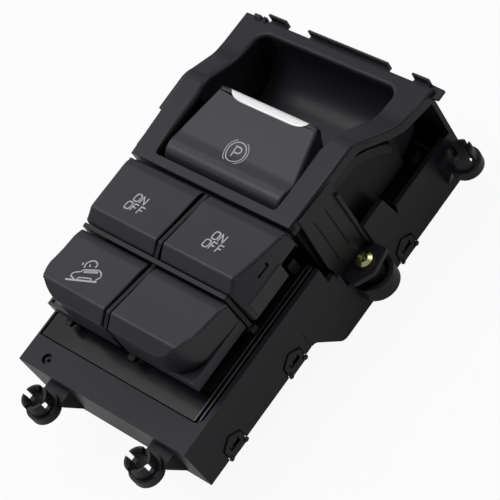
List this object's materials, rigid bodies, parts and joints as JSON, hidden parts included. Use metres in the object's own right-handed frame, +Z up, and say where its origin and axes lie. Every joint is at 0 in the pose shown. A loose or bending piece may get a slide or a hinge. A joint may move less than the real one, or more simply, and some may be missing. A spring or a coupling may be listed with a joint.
{
  "type": "parking brake switch",
  "caption": "Console switch block: pull-up paddle lever with bright strip over a finger bowl, push buttons in front, black housing with slotted locating collets",
  "frame": {"origin": "middle of the whole part in plan, on the surface it rests on", "axes": "+X along a row of buttons to the right, +Y from the buttons towards the finger bowl, +Z up out of the buttons"},
  "size_m": [0.103, 0.1504, 0.0579],
  "materials": {
    "housing_plastic": "fine-grained near-black moulding",
    "cover_plastic": "fine-grained near-black moulding",
    "board_laminate": "green solder mask",
    "zinc_screw": "zinc plated",
    "socket_plastic": "moulded socket",
    "contact_metal": "tinned",
    "gloss_deck": "glossy black",
    "guide_plastic": "satin black",
    "bezel_plastic": "soft satin charcoal",
    "yellow_screw": "yellow zinc plated steel",
    "case_plastic": "satin black",
    "lever_plastic": "soft satin charcoal",
    "bright_strip": "bright chrome",
    "carrier_plastic": "moulded",
    "steel_pin": "ground steel",
    "switch_body": "moulded",
    "chip_plastic": "moulded",
    "lamp_plastic": "translucent white",
    "cap_plastic": "soft satin charcoal",
    "stem_plastic": "natural white",
    "dome_rubber": "grey silicone"
  },
  "bodies": {
    "frame": {"main_housing": "housing_plastic", "bottom_cover": "cover_plastic", "circuit_board": "board_laminate", "board_screws": "zinc_screw", "connector_socket": "socket_plastic", "terminal_pins": "contact_metal", "switch_deck": "gloss_deck", "button_guide": "guide_plastic", "pocket_bezel": "bezel_plastic", "bezel_screws": "yellow_screw", "lever_case": "case_plastic", "lever_pivot_pin": "steel_pin", "lever_switch_front": "switch_body", "lever_switch_rear": "switch_body", "microcontroller": "chip_plastic", "indicator_lamps": "lamp_plastic", "blank_cap_front_right": "cap_plastic", "contact_dome_back_left": "dome_rubber", "contact_dome_back_right": "dome_rubber", "contact_dome_front_left": "dome_rubber"},
    "button_back_left": {"button_cap_back_left": "cap_plastic", "button_stem_back_left": "stem_plastic"},
    "button_back_right": {"button_cap_back_right": "cap_plastic", "button_stem_back_right": "stem_plastic"},
    "button_front_left": {"button_cap_front_left": "cap_plastic", "button_stem_front_left": "stem_plastic"},
    "lever": {"lever_cap": "lever_plastic", "lever_garnish": "bright_strip", "lever_carrier": "carrier_plastic"}
  },
  "joints": [
    {"name": "lever_hinge", "type": "hinge", "parent": "frame", "child": "lever", "pos_m": [0, 0.01825, 0.05], "axis": [1, 0, 0], "range_deg": [-6, 8], "stiffness_Nm_per_rad": 1.2},
    {"name": "button_back_left_slide", "type": "slide", "parent": "frame", "child": "button_back_left", "axis": [0, 0, -1], "range_m": [0, 0.0015], "stiffness_N_per_m": 2500, "deforming": ["contact_dome_back_left"]},
    {"name": "button_back_right_slide", "type": "slide", "parent": "frame", "child": "button_back_right", "axis": [0, 0, -1], "range_m": [0, 0.0015], "stiffness_N_per_m": 2500, "deforming": ["contact_dome_back_right"]},
    {"name": "button_front_left_slide", "type": "slide", "parent": "frame", "child": "button_front_left", "axis": [0, 0, -1], "range_m": [0, 0.0015], "stiffness_N_per_m": 2500, "deforming": ["contact_dome_front_left"]}
  ]
}
